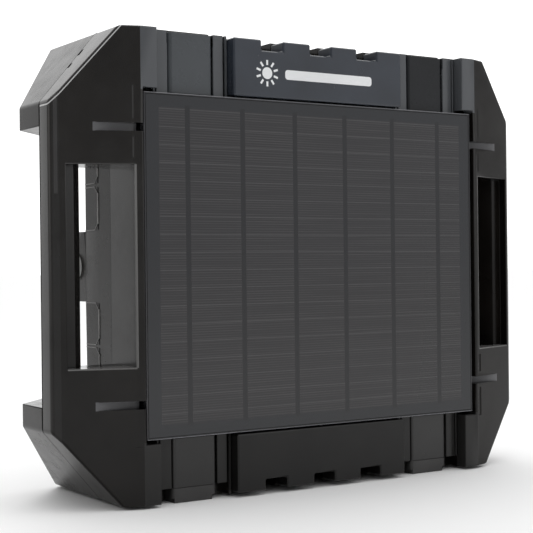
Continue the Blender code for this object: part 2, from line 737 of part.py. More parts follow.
def makeBoard():
    board_face = post_end + gap + 1.6
    board = box("circuit_board", (-80.0, post_end + gap, 24.0), (80.0, board_face, 118.0),
                board_green)
    for number, (x, z) in enumerate(post_points, 1):
        cut(board, rod("board_hole", (x, post_end, z), 1.9, 12.0, "y", sides=10))
        head = rod("board_screw_%d" % number, (x, board_face + gap + 1.0, z), 3.0, 2.0, "y",
                   screw_steel, sides=12)
        join(head, rod("board_screw_shank", (x, board_face - 3.0, z), 1.3, 9.0, "y", sides=8))
    seat = board_face + gap
    core = box("transformer_core", (-68.0, seat, 44.0), (-8.0, seat + 40.0, 98.0), core_steel)
    cut(core, box("core_window", (-56.0, seat - 5, 56.0), (-20.0, seat + 60.0, 86.0)))
    coil = box("transformer_coil", (-55.5, seat, 56.5), (-20.5, seat + 52.0, 85.5),
               winding_copper)
    roundEdges(coil, 4.0, 1)
    rod("storage_capacitor", (16.0, seat + 26.0, 86.0), 17.5, 52.0, "y", film_blue, sides=24)
    sink = box("heat_sink", (40.0, seat, 60.0), (66.0, seat + 26.0, 104.0), heat_metal)
    for x in (46.0, 53.0, 60.0):
        cut(sink, box("fin_cut", (x - 2.0, seat + 5.0, 50.0), (x + 2.0, seat + 40.0, 120.0)))
    controller = box("charge_controller", (2.0, seat, 32.0), (56.0, seat + 14.0, 54.0),
                     frame_black)
    roundEdges(controller, 1.0, 1)


def makeLead(name, points, radius, material):
    # An inside lead: a round wire along a smooth curve through a few chosen points.
    curve = bpy.data.curves.new(name, "CURVE")
    curve.dimensions = "3D"
    curve.bevel_depth = radius / 1000
    curve.bevel_resolution = 1
    curve.use_fill_caps = True
    steps = 5
    knots = []
    for index in range(len(points) - 1):
        before = Vector(points[max(index - 1, 0)])
        start, end = Vector(points[index]), Vector(points[index + 1])
        after = Vector(points[min(index + 2, len(points) - 1)])
        for step in range(steps):
            knots.append(onCurve(before, start, end, after, step / steps))
    knots.append(Vector(points[-1]))
    path = curve.splines.new("POLY")
    path.points.add(len(knots) - 1)
    for knot, spot in zip(path.points, knots):
        knot.co = (*place(*spot), 1)
    wire = bpy.data.objects.new(name, curve)
    parts.objects.link(wire)
    curve.materials.append(material)


def onCurve(before, start, end, after, t):
    # Catmull-Rom interpolation between start and end.
    return 0.5 * (2 * start + (end - before) * t
                  + (2 * before - 5 * start + 4 * end - after) * t ** 2
                  + (3 * start - before - 3 * end + after) * t ** 3)


def makeLeads():
    makeLead("solar_lead", [(0, 15.6, -40), (0, 23, -39), (0, 26, -30), (1, 26.4, -10),
                            (3, 26.6, 10), (8, 31, 18), (14, 43, 20)], 1.6, soft_black)
    makeLead("battery_lead", [(60, 106, 18), (60, 104, 26), (66, 90, 34), (70, 70, 36),
                              (70, 52, 36), (70, 46.6, 36)], 1.6, fence_red)
    makeLead("fence_lead", [(-36, 101, 72), (-30, 110, 76), (20, 116, 80), (110, 104, 72),
                            (148, 88, 56), (162, 82, 50)], 1.8, soft_black)


def makeScrews():
    number = 1
    for side, level in corners:
        for spot, seat in ((flange_screw, split_plane + wall + 0.6), (rear_screw, 54.3)):
            x, z = side * spot[0], level * spot[1]
            screw = rod("case_screw_%d" % number, (x, seat + 1.5, z), 4.0, 3.0, "y",
                        screw_steel, sides=16)
            join(screw, rod("screw_shank", (x, seat - 8.5, z), 1.9, 18.0, "y", sides=10))
            cut(screw, rod("hex_socket", (x, seat + 3.0, z), 2.0, 3.0, "y", sides=6))
            number += 1


makeFrontShell()
makeRearShell()
makeCaseSeal()
makePanel()
for level_name, level in levels.items():
    makeCoverPlate("cover_plate_" + level_name, level)
makeBlocks()
makeRunners()
makeDoor()
makeSwitch()
makeTerminals()
makeChargeSocket()
makeBattery()
makeBoard()
makeLeads()
makeScrews()
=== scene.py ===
import json
import math

import bpy
from mathutils import Matrix, Vector

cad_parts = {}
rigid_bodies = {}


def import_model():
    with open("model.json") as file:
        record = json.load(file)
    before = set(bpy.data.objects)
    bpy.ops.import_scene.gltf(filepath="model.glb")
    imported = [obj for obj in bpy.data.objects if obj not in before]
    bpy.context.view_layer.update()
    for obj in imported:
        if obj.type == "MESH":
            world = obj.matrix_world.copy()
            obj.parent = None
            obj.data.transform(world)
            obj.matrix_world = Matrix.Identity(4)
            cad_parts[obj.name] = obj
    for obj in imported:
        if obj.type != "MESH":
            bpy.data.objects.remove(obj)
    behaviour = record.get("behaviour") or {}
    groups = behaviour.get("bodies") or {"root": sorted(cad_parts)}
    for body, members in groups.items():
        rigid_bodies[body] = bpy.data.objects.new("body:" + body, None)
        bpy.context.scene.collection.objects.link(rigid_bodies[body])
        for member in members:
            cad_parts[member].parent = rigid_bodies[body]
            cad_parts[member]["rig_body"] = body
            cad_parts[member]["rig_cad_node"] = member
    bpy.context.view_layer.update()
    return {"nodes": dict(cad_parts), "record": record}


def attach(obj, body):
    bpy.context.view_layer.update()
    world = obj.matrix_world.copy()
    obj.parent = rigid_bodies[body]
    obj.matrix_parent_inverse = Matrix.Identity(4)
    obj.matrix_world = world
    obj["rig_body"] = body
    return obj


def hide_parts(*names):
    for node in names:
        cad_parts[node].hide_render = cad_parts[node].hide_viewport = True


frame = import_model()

# The case stands on the ground with its solar panel towards -Y. Lengths are in metres.
mm = 0.001
midDepth = 73.5 * mm       # the panel's face lies this far in front of the middle of the case
midHeight = 202 * mm       # the case's mid-height above the ground


def spot(x, y, z):
    # x across, y back from the panel's face and z up from mid-height, in millimetres
    return Vector((x * mm, y * mm - midDepth, z * mm + midHeight))


# node helpers

def addMix(nodes, links, factor, first, second, clamped=True):
    mix = nodes.new("ShaderNodeMix")
    mix.data_type = "RGBA"
    mix.clamp_factor = clamped
    links.new(factor, mix.inputs[0])
    for socket, colour in ((mix.inputs[6], first), (mix.inputs[7], second)):
        if isinstance(colour, tuple):
            socket.default_value = (*colour, 1)
        else:
            links.new(colour, socket)
    return mix.outputs[2]


def addMath(nodes, links, operation, *values):
    step = nodes.new("ShaderNodeMath")
    step.operation = operation
    for socket, value in zip(step.inputs, values):
        if isinstance(value, (int, float)):
            socket.default_value = value
        else:
            links.new(value, socket)
    return step.outputs["Value"]


# camera, light and floor

cameraSetup = {
    "lens": 87.74,
    "place": spot(-679.1, -962.4, -0.4),
    "yaw": 32.78,          # turned this far to the right of +Y
    "pitch": -0.06,
    "roll": -0.62,
}

lightSetup = {
    "away": (0.54, 0.84, 0.0),     # the side behind the case, where the backdrop is
    "sky": [
        # how far round towards the backdrop, and how bright it is there
        (0.0, 0.34),
        (0.5, 0.33),
        (0.68, 0.36),
        (0.77, 0.8),
        (0.85, 1.3),
        (1.0, 1.5),
    ],
    "glow": (0.66, -0.74, 0.12),   # a soft light to the right of the camera
    "glowFrom": 0.83,
    "glowLevel": 0.62,
    "glowColour": (0.97, 0.98, 1.0),
    "zenith": 0.75,
    "lamps": [
        # name, place, size, height, power, colour
        ("overhead", (0.3, 0.3, 2.4), 2.6, 2.6, 14, (1.0, 1.0, 1.0)),
        ("leftSide", (-2.4, 0.9, 0.9), 0.9, 1.6, 3, (1.0, 0.97, 0.94)),
    ],
}


def addCamera(setup):
    data = bpy.data.cameras.new("camera")
    data.lens = setup["lens"]
    data.sensor_width = 36
    data.clip_start = 0.05
    camera = bpy.data.objects.new("camera", data)
    bpy.context.scene.collection.objects.link(camera)
    aim = Matrix.Rotation(math.radians(-setup["yaw"]), 4, "Z")
    lift = Matrix.Rotation(math.radians(90 + setup["pitch"]), 4, "X")
    roll = Matrix.Rotation(math.radians(setup["roll"]), 4, "Z")
    camera.matrix_world = Matrix.Translation(setup["place"]) @ aim @ lift @ roll
    bpy.context.scene.camera = camera


def addLights(setup):
    # a studio that is white behind the case and dimmer towards the camera
    world = bpy.data.worlds.new("studio")
    bpy.context.scene.world = world
    world.use_nodes = True
    nodes, links = world.node_tree.nodes, world.node_tree.links
    sight = nodes.new("ShaderNodeTexCoord").outputs["Generated"]

    def toward(direction):
        facing = nodes.new("ShaderNodeVectorMath")
        facing.operation = "DOT_PRODUCT"
        facing.inputs[1].default_value = direction
        links.new(sight, facing.inputs[0])
        return facing.outputs["Value"]

    def ranged(source, low, high, most):
        step = nodes.new("ShaderNodeMapRange")
        step.interpolation_type = "SMOOTHSTEP"
        step.inputs["From Min"].default_value = low
        step.inputs["From Max"].default_value = high
        step.inputs["To Max"].default_value = most
        links.new(source, step.inputs["Value"])
        return step.outputs["Result"]

    ramp = nodes.new("ShaderNodeValToRGB")
    links.new(addMath(nodes, links, "MULTIPLY_ADD", toward(setup["away"]), 0.5, 0.5),
              ramp.inputs["Fac"])
    steps = ramp.color_ramp.elements
    while len(steps) < len(setup["sky"]):
        steps.new(0.5)
    for step, (place, level) in zip(steps, setup["sky"]):
        step.position = place
        step.color = (level, level, level, 1)
    above = ranged(toward((0, 0, 1)), 0.2, 0.9, setup["zenith"])
    glow = ranged(toward(Vector(setup["glow"]).normalized()), setup["glowFrom"], 1.0,
                  setup["glowLevel"])
    tinted = addMix(nodes, links, glow, (0.0, 0.0, 0.0), setup["glowColour"], clamped=False)
    total = nodes.new("ShaderNodeVectorMath")
    links.new(ramp.outputs["Color"], total.inputs[0])
    links.new(above, total.inputs[1])
    whole = nodes.new("ShaderNodeVectorMath")
    links.new(total.outputs["Vector"], whole.inputs[0])
    links.new(tinted, whole.inputs[1])
    links.new(whole.outputs["Vector"], nodes["Background"].inputs["Color"])
    for name, place, size, height, power, colour in setup["lamps"]:
        data = bpy.data.lights.new(name, "AREA")
        data.shape = "RECTANGLE"
        data.size = size
        data.size_y = height
        data.energy = power
        data.color = colour
        lamp = bpy.data.objects.new(name, data)
        bpy.context.scene.collection.objects.link(lamp)
        aim = Vector((0, 0, 0.2)) - Vector(place)
        lamp.location = place
        lamp.rotation_euler = aim.to_track_quat("-Z", "Y").to_euler()


def addFloor():
    bpy.ops.mesh.primitive_plane_add(size=60, location=(0, 0, 0))
    floor = bpy.context.object
    floor.name = "floor"
    material = bpy.data.materials.new("paleFloor")
    material.use_nodes = True
    shader = material.node_tree.nodes["Principled BSDF"]
    shader.inputs["Base Color"].default_value = (0.95, 0.95, 0.95, 1)
    shader.inputs["Roughness"].default_value = 0.9
    shader.inputs["Specular IOR Level"].default_value = 0.1
    floor.data.materials.append(material)


addCamera(cameraSetup)
addLights(lightSetup)
addFloor()
bpy.context.scene.view_settings.view_transform = "Standard"
print("stage: camera, light and floor")


# finishes

def newMaterial(name, colour, roughness, metallic=0.0):
    material = bpy.data.materials.new(name)
    material.use_nodes = True
    shader = material.node_tree.nodes["Principled BSDF"]
    shader.inputs["Base Color"].default_value = (*colour, 1)
    shader.inputs["Roughness"].default_value = roughness
    shader.inputs["Metallic"].default_value = metallic
    return material, material.node_tree.nodes, material.node_tree.links, shader


def objectCoords(nodes):
    return nodes.new("ShaderNodeTexCoord").outputs["Object"]


def addNoise(nodes, links, scale, detail=3.0, roughness=0.5):
    noise = nodes.new("ShaderNodeTexNoise")
    noise.inputs["Scale"].default_value = scale
    noise.inputs["Detail"].default_value = detail
    noise.inputs["Roughness"].default_value = roughness
    links.new(objectCoords(nodes), noise.inputs["Vector"])
    return noise.outputs["Fac"]


def addRange(nodes, links, source, low, high):
    ranged = nodes.new("ShaderNodeMapRange")
    ranged.inputs["From Min"].default_value = 0.3
    ranged.inputs["From Max"].default_value = 0.7
    ranged.inputs["To Min"].default_value = low
    ranged.inputs["To Max"].default_value = high
    links.new(source, ranged.inputs["Value"])
    return ranged.outputs["Result"]


def addBump(nodes, links, shader, source, strength, distance):
    bump = nodes.new("ShaderNodeBump")
    bump.inputs["Strength"].default_value = strength
    bump.inputs["Distance"].default_value = distance
    links.new(source, bump.inputs["Height"])
    links.new(bump.outputs["Normal"], shader.inputs["Normal"])


def mouldedPlastic(name, dark, light, roughLow, roughHigh, level=0.5, grain=1400,
                   grainDepth=0.00003):
    # injection moulded plastic: cloudy gloss and a fine grain
    material, nodes, links, shader = newMaterial(name, dark, roughLow)
    shader.inputs["Specular IOR Level"].default_value = level
    cloud = addRange(nodes, links, addNoise(nodes, links, 22, 4), 0, 1)
    links.new(addMix(nodes, links, cloud, dark, light), shader.inputs["Base Color"])
    smudge = addNoise(nodes, links, 60, 5, 0.6)
    links.new(addRange(nodes, links, smudge, roughLow, roughHigh), shader.inputs["Roughness"])
    addBump(nodes, links, shader, addNoise(nodes, links, grain, 2), 0.25, grainDepth)
    return material


def turnedMetal(name, colour, roughness, metallic=1.0):
    # turned metal: fine scratches in the gloss and a slightly uneven tint
    material, nodes, links, shader = newMaterial(name, colour, roughness, metallic)
    scratch = addNoise(nodes, links, 2600, 2)
    links.new(addRange(nodes, links, scratch, roughness * 0.7, roughness * 1.4),
              shader.inputs["Roughness"])
    tint = addRange(nodes, links, addNoise(nodes, links, 90, 3), 0, 1)
    shade = tuple(part * 0.8 for part in colour)
    links.new(addMix(nodes, links, tint, shade, colour), shader.inputs["Base Color"])
    return material


cellPattern = {
    "halfWidth": 165 * mm, "halfHeight": 133.5 * mm,
    "barPitch": 55 * mm, "barHalf": 2.4 * mm, "barReach": 136 * mm,
    "linePitch": 15.1 * mm, "lineHalf": 0.28 * mm, "lineStart": 0.255,
    "fingerPitch": 2.1 * mm, "fingerHalf": 0.17,
    "margin": (0.010, 0.011, 0.014), "cell": (0.016, 0.015, 0.017),
    "finger": (0.046, 0.044, 0.045), "line": (0.055, 0.054, 0.056), "bar": (0.004, 0.004, 0.006),
}


def solarGlass(name, pattern):
    # glossy laminate over dark cells with fine silver lines and wide dark bars
    material, nodes, links, shader = newMaterial(name, pattern["cell"], 0.08)
    apart = nodes.new("ShaderNodeSeparateXYZ")
    links.new(objectCoords(nodes), apart.inputs["Vector"])
    across = apart.outputs["X"]
    height = addMath(nodes, links, "SUBTRACT", apart.outputs["Z"], midHeight)

    def within(value, reach):
        return addMath(nodes, links, "LESS_THAN", addMath(nodes, links, "ABSOLUTE", value), reach)

    def stripes(value, start, pitch, half):
        shifted = addMath(nodes, links, "ADD", value, start)
        away = addMath(nodes, links, "PINGPONG", shifted, pitch / 2)
        return addMath(nodes, links, "LESS_THAN", away, half)

    inCells = addMath(nodes, links, "MULTIPLY", within(across, pattern["halfWidth"]),
                      within(height, pattern["halfHeight"]))
    barZone = addMath(nodes, links, "MULTIPLY", within(across, pattern["halfWidth"]),
                      within(height, pattern["barReach"]))
    fingers = stripes(height, 0.0, pattern["fingerPitch"],
                      pattern["fingerPitch"] * pattern["fingerHalf"])
    streak = nodes.new("ShaderNodeTexNoise")
    stretch = nodes.new("ShaderNodeMapping")
    stretch.inputs["Scale"].default_value = (9, 1, 420)
    links.new(objectCoords(nodes), stretch.inputs["Vector"])
    links.new(stretch.outputs["Vector"], streak.inputs["Vector"])
    streak.inputs["Scale"].default_value = 1.0
    streaky = addRange(nodes, links, streak.outputs["Fac"], 0.1, 1.0)
    fingers = addMath(nodes, links, "MULTIPLY", fingers, streaky)
    colour = addMix(nodes, links, fingers, pattern["cell"], pattern["finger"])
    lines = stripes(height, pattern["linePitch"] * pattern["lineStart"], pattern["linePitch"],
                    pattern["lineHalf"])
    colour = addMix(nodes, links, lines, colour, pattern["line"])
    colour = addMix(nodes, links, inCells, pattern["margin"], colour)
    bars = addMath(nodes, links, "MULTIPLY", barZone,
                   stripes(across, pattern["barPitch"] / 2, pattern["barPitch"], pattern["barHalf"]))
    colour = addMix(nodes, links, bars, colour, pattern["bar"])
    links.new(colour, shader.inputs["Base Color"])
    links.new(addRange(nodes, links, addNoise(nodes, links, 9, 3), 0.07, 0.14),
              shader.inputs["Roughness"])
    addBump(nodes, links, shader, streaky, 0.08, 0.00002)
    return material


def paintLightZones(material, zones):
    # paints light and shade into a material's colour, one box at a time: a zone is a box, mirrored
    # up and down or not: |x|, y and z ranges in millimetres, and the painted colour
    nodes, links = material.node_tree.nodes, material.node_tree.links
    shader = nodes["Principled BSDF"]
    colour = shader.inputs["Base Color"].links[0].from_socket
    apart = nodes.new("ShaderNodeSeparateXYZ")
    links.new(objectCoords(nodes), apart.inputs["Vector"])
    across = addMath(nodes, links, "ABSOLUTE", apart.outputs["X"])
    back = apart.outputs["Y"]
    height = addMath(nodes, links, "SUBTRACT", apart.outputs["Z"], midHeight)
    level = addMath(nodes, links, "ABSOLUTE", height)
    for mirrored, xRange, yRange, zRange, zoneColour in zones:
        inside = None
        for value, (low, high), shift in ((across, xRange, 0), (back, yRange, midDepth),
                                          (level if mirrored else height, zRange, 0)):
            middle = (low + high) / 2 * mm - shift
            test = addMath(nodes, links, "COMPARE", value, middle, (high - low) / 2 * mm)
            inside = test if inside is None else addMath(nodes, links, "MULTIPLY", inside, test)
        colour = addMix(nodes, links, inside, colour, zoneColour)
    links.new(colour, shader.inputs["Base Color"])


caseLightZones = [
    # painted light: the fluted strips above the panel are painted light bluish and those below it a
    # little lighter than the case, and the floors of the cheek slots carry a painted reflection
    (False, (0, 183.2), (-4, 10), (146.6, 199.6), (0.068, 0.072, 0.078)),
    (False, (0, 183.2), (-4, 10), (-199.6, -146.6), (0.019, 0.0185, 0.018)),
    (True, (181.2, 221), (9.3, 10.4), (111.6, 119), (0.10, 0.10, 0.105)),
    # the edges round the hand openings that catch the light
    (True, (187.0, 188.5), (-3, 0.4), (0, 84.2), (0.12, 0.118, 0.116)),
    (False, (188, 242), (-3, 26.5), (-85.2, -83.8), (0.13, 0.128, 0.126)),
    # a painted soft highlight down the rounded front edge of each handle bar, brighter from a little
    # above mid-height up
    (False, (246.8, 251.0), (17, 27), (-165, 172), (0.011, 0.0105, 0.010)),
    (False, (247.8, 250.0), (17, 27), (60, 172), (0.032, 0.031, 0.031)),
]
caseBlack = mouldedPlastic("caseBlack", (0.0038, 0.0031, 0.0026),
                           (0.0072, 0.006, 0.0051), 0.13, 0.24)
# a duller copy of the case finish for the rear shell: its lower specular level is painted shade on
# the reflections there
dimmedRearBlack = mouldedPlastic("dimmedRearBlack", (0.0048, 0.0041, 0.0036),
                           (0.0082, 0.0072, 0.0065), 0.2, 0.3, 0.21)
paintLightZones(caseBlack, caseLightZones)
paintLightZones(dimmedRearBlack, caseLightZones)


paintedReflectionLook = {
    # painted reflections along the case: where the specular level starts to change and ends, and the
    # levels there
    "height": (-0.06, 0.07, 0.24, 0.5),
    "right": (0.178, 0.186, 1.0, 0.5),
    "chamfer": (0.2795, 0.2806, 1.0, 0.5),
    # the direction away from the middle in which the chamfers face
    "chamferAcross": 0.7655, "chamferUp": 0.644,
    # the painted highlight line along the upper left cheek edge: its place, half width and colour
    "highlightPlace": 0.2797, "highlightHalf": 0.0004, "highlightColour": (0.45, 0.45, 0.45),
}


def paintCaseReflections(material, look):
    # painted reflections: the specular level is highest high on the left cheek and lower low down,
    # on the right and on the chamfers, as painted light and shade; a painted highlight runs along
    # the upper left cheek edge
    nodes, links = material.node_tree.nodes, material.node_tree.links
    shader = nodes["Principled BSDF"]
    apart = nodes.new("ShaderNodeSeparateXYZ")
    links.new(objectCoords(nodes), apart.inputs["Vector"])
    across = apart.outputs["X"]

    def combine(operation, first, second, *more):
        return addMath(nodes, links, operation, first, second, *more)

    height = combine("SUBTRACT", apart.outputs["Z"], midHeight)
    away = combine("ADD",
                   combine("MULTIPLY", addMath(nodes, links, "ABSOLUTE", across),
                           look["chamferAcross"]),
                   combine("MULTIPLY", addMath(nodes, links, "ABSOLUTE", height),
                           look["chamferUp"]))
    sheen = 1.0
    for source, name in ((height, "height"), (across, "right"), (away, "chamfer")):
        near, far, nearLevel, farLevel = look[name]
        ranged = nodes.new("ShaderNodeMapRange")
        ranged.inputs["From Min"].default_value = near
        ranged.inputs["From Max"].default_value = far
        ranged.inputs["To Min"].default_value = nearLevel
        ranged.inputs["To Max"].default_value = farLevel
        links.new(source, ranged.inputs["Value"])
        sheen = combine("MULTIPLY", ranged.outputs["Result"], sheen)
    links.new(sheen, shader.inputs["Specular IOR Level"])
    upperHighlightBand = combine("MULTIPLY",
                        combine("COMPARE", away, look["highlightPlace"], look["highlightHalf"]),
                        combine("GREATER_THAN", height, 0.0))
    upperLeftHighlight = combine("MULTIPLY", upperHighlightBand, combine("LESS_THAN", across, 0.0))
    base = shader.inputs["Base Color"].links[0].from_socket
    links.new(addMix(nodes, links, upperLeftHighlight, base, look["highlightColour"]),
              shader.inputs["Base Color"])


paintCaseReflections(caseBlack, paintedReflectionLook)
topPlateBlack = mouldedPlastic("topPlateBlack", (0.020, 0.024, 0.032),
                               (0.028, 0.034, 0.046), 0.18, 0.28)
# a darker, duller copy of the plate finish for the lower cover plate: painted shade
shadedLowPlateBlack = mouldedPlastic("shadedLowPlateBlack", (0.006, 0.0056, 0.0055),
                               (0.009, 0.0085, 0.008), 0.3, 0.4, 0.3)
# lit and shaded copies of one finish for the cover blocks: the upper left one is painted lighter,
# the upper right one darker with duller reflections, and the lower ones darker
litTopBlockBlack = mouldedPlastic("litTopBlockBlack", (0.044, 0.050, 0.055),
                               (0.054, 0.060, 0.067), 0.24, 0.34)
dimFarBlockBlack = mouldedPlastic("dimFarBlockBlack", (0.010, 0.011, 0.012),
                               (0.014, 0.015, 0.017), 0.24, 0.34, 0.25)
footBlack = mouldedPlastic("footBlack", (0.026, 0.025, 0.025), (0.036, 0.035, 0.034), 0.4, 0.55)
shadedLowBlockBlack = mouldedPlastic("shadedLowBlockBlack", (0.010, 0.0095, 0.0092),
                               (0.014, 0.0135, 0.013), 0.26, 0.36)
frameBlack = mouldedPlastic("frameBlack", (0.012, 0.012, 0.013), (0.018, 0.018, 0.019), 0.25, 0.35)
frameRim = mouldedPlastic("frameRim", (0.012, 0.012, 0.014), (0.016, 0.016, 0.018), 0.18, 0.26)
frameRimHighlights = [
    # painted highlights: the outer rim of the panel's frame is painted bright along its front edge
    (False, (0, 181), (-1, 1.2), (-147, -145.0), (0.24, 0.24, 0.26)),
    (False, (0, 181), (-1, 1.2), (144.9, 147), (0.2, 0.2, 0.215)),
    (True, (178.7, 181), (-1, 0.9), (0, 147), (0.06, 0.06, 0.066)),
]
paintLightZones(frameRim, frameRimHighlights)
softBlack = mouldedPlastic("softBlack", (0.010, 0.0098, 0.0095),
                           (0.016, 0.0155, 0.015), 0.4, 0.55, 0.5, 900, 0.00006)
panelGlass = solarGlass("panelGlass", cellPattern)
brightMetal = turnedMetal("brightMetal", (0.78, 0.78, 0.77), 0.2)
# the switch ring: a barely metallic, nearly white finish whose brightness is a painted reflection of
# the metal ring
ringPaintedShine = turnedMetal("ringPaintedShine", (0.9, 0.89, 0.87), 0.3, 0.1)
screwSteel = turnedMetal("screwSteel", (0.5, 0.5, 0.5), 0.32)
brassMetal = turnedMetal("brassMetal", (0.72, 0.5, 0.2), 0.26)
heatMetal = turnedMetal("heatMetal", (0.6, 0.6, 0.62), 0.4)
coreSteel = turnedMetal("coreSteel", (0.16, 0.15, 0.14), 0.55)
windingCopper = turnedMetal("windingCopper", (0.5, 0.2, 0.09), 0.35)
boardGreen = mouldedPlastic("boardGreen", (0.012, 0.09, 0.035), (0.016, 0.12, 0.05), 0.3, 0.45)
batteryGrey = mouldedPlastic("batteryGrey", (0.09, 0.09, 0.1), (0.12, 0.12, 0.13), 0.45, 0.6)
filmBlue = mouldedPlastic("filmBlue", (0.02, 0.05, 0.17), (0.03, 0.07, 0.22), 0.25, 0.4)
fenceRed = mouldedPlastic("fenceRed", (0.38, 0.015, 0.012), (0.46, 0.02, 0.016), 0.3, 0.45)
earthGreen = mouldedPlastic("earthGreen", (0.015, 0.16, 0.04), (0.02, 0.2, 0.05), 0.3, 0.45)
lampGreen = mouldedPlastic("lampGreen", (0.06, 0.4, 0.1), (0.08, 0.5, 0.14), 0.1, 0.18)

finishOf = {
    "case_black": caseBlack, "plate_black": topPlateBlack, "frame_black": frameBlack,
    "soft_black": softBlack, "panel_glass": panelGlass, "bright_metal": brightMetal,
    "screw_steel": screwSteel, "brass_metal": brassMetal, "heat_metal": heatMetal,
    "core_steel": coreSteel, "winding_copper": windingCopper, "board_green": boardGreen,
    "battery_grey": batteryGrey, "film_blue": filmBlue, "fence_red": fenceRed,
    "earth_green": earthGreen, "lamp_green": lampGreen,
}
ownFinish = {
    "cover_plate_bottom": shadedLowPlateBlack, "panel_frame": frameRim, "switch_ring": ringPaintedShine,
    "rear_shell": dimmedRearBlack, "foot_bottom_left": footBlack, "foot_bottom_right": footBlack,
    "cover_block_top_left": litTopBlockBlack, "cover_block_top_right": dimFarBlockBlack,
    "cover_block_bottom_left": shadedLowBlockBlack, "cover_block_bottom_right": shadedLowBlockBlack,
}
slotOf = {entry["node"]: entry["material_slot"] for entry in frame["record"]["subparts"]}
bodyOf = {node: body for body, members in frame["record"]["behaviour"]["bodies"].items()
          for node in members}
for node, thing in frame["nodes"].items():
    thing.data.materials.clear()
    thing.data.materials.append(ownFinish.get(node, finishOf[slotOf[node]]))
print("stage: finishes")


# moulded edges: a merged copy of a CAD piece with its edges rounded

def mergedCopy(node):
    source = frame["nodes"][node]
    bpy.ops.object.select_all(action="DESELECT")
    source.select_set(True)
    bpy.context.view_layer.objects.active = source
    bpy.ops.object.duplicate()
    piece = bpy.context.object
    piece.name = node + "_rounded"
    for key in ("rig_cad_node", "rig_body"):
        del piece[key]
    piece.parent = None
    bpy.ops.object.mode_set(mode="EDIT")
    bpy.ops.mesh.select_mode(type="EDGE")
    bpy.ops.mesh.select_all(action="SELECT")
    bpy.ops.mesh.remove_doubles(threshold=0.00001)
    bpy.ops.mesh.dissolve_limited(angle_limit=math.radians(1))
    bpy.ops.mesh.select_all(action="DESELECT")
    bpy.ops.object.mode_set(mode="OBJECT")
    return piece


def finishCopy(piece, node, smoothAngle=35):
    bpy.ops.object.shade_smooth_by_angle(angle=math.radians(smoothAngle))
    weighted = piece.modifiers.new("weighted", "WEIGHTED_NORMAL")
    weighted.keep_sharp = True
    weighted.weight = 100
    bpy.ops.object.modifier_apply(modifier=weighted.name)
    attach(piece, bodyOf[node])
    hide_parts(node)
    return piece


def roundByAngle(node, width, segments=3, angle=35):
    piece = mergedCopy(node)
    bevel = piece.modifiers.new("rounded", "BEVEL")
    bevel.width = width * mm
    bevel.segments = segments
    bevel.limit_method = "ANGLE"
    bevel.angle_limit = math.radians(angle)
    bpy.ops.object.modifier_apply(modifier=bevel.name)
    return finishCopy(piece, node)


slope = 0.35        # how fast the cheeks fall back
caseFaces = {
    # how far a point lies from each face of the case, in millimetres
    "face": lambda x, y, z: y + 3,
    "cheek": lambda x, y, z: (y + 3 - slope * (x - 183.5)) / 1.06,
    "edge": lambda x, y, z: ((x - 253) * 8.125 - (y - 27) * 7) / 10.72,
    "side": lambda x, y, z: x - 253,
    "chamfer": lambda x, y, z: ((x - 200) * 63 + (z - 199.5) * 53) / 82.3,
    "top": lambda x, y, z: z - 199.5,
    "slant": lambda x, y, z: (x + y - 343) / 1.414,
    "back": lambda x, y, z: y - 150,
    "seamFront": lambda x, y, z: y - 45.85,
    "seamBack": lambda x, y, z: y - 46.15,
    "pocketSide": lambda x, y, z: x - 181,
    "slotEnd": lambda x, y, z: z - 148.6,
    "columnSide": lambda x, y, z: x - 167.3,
    "openingInner": lambda x, y, z: x - 188.3,
    "openingOuter": lambda x, y, z: x - 241.7,
    "openingEnd": lambda x, y, z: z - 84,
    "ledge": lambda x, y, z: y - 26,
    "ledgeSide": lambda x, y, z: x - 231.5,
    "flute": lambda x, y, z: y - 8,
    "fluteSide": lambda x, y, z: min(abs(x - each) for each in (97, 107, 152, 162.8, 164.2, 165.8)),
    "bayEnd": lambda x, y, z: z - 117,
    "bodySide": lambda x, y, z: x - 185.5,
    "bodySlant": lambda x, y, z: (x + y - 289) / 1.414,
}
edgeWidths = {
    # the two faces that meet, and the width of the rounding between them
    ("cheek", "chamfer"): 2.6, ("edge", "chamfer"): 2.6, ("side", "chamfer"): 2.2,
    ("cheek", "edge"): 3.4, ("edge", "side"): 3.4, ("cheek", "top"): 2.0, ("face", "top"): 1.6,
    ("chamfer", "top"): 3.0, ("chamfer", "slant"): 2.6, ("side", "slant"): 3.0,
    ("slant", "top"): 2.6, ("slant", "back"): 3.0, ("back", "top"): 2.2,
    ("face", "pocketSide"): 0.6, ("face", "slotEnd"): 0.8, ("face", "columnSide"): 1.0,
    ("cheek", "openingInner"): 1.2, ("cheek", "openingOuter"): 1.2, ("cheek", "openingEnd"): 1.0,
    ("ledge", "ledgeSide"): 1.0, ("ledge", "openingEnd"): 0.6, ("flute", "fluteSide"): 0.5,
    ("seamFront", "side"): 0.4, ("seamFront", "chamfer"): 0.4, ("seamFront", "top"): 0.4,
    ("seamBack", "side"): 0.4, ("seamBack", "chamfer"): 0.4, ("seamBack", "top"): 0.4,
    ("bodySide", "bodySlant"): 2.0, ("slant", "bayEnd"): 1.2,
    ("side", "bayEnd"): 1.2,
}


onFace = 0.06       # in millimetres


def facesAt(point):
    # the faces of the case that a point lies on, within a small margin
    x, y, z = abs(point.x) / mm, (point.y + midDepth) / mm, abs(point.z - midHeight) / mm
    return {name for name, away in caseFaces.items() if abs(away(x, y, z)) < onFace}


seamSlots = {
    # two short slots beside the seam on the upper left chamfer: distance down it, and length
    "top": (-200, 199.5),
    "fall": (-53, -63),
    "slots": [(24.1, 5.6), (39.6, 4.2)],
    "width": 3.2 * mm,
    "depth": 1.6 * mm,
    "seamDepth": 44.3,
}


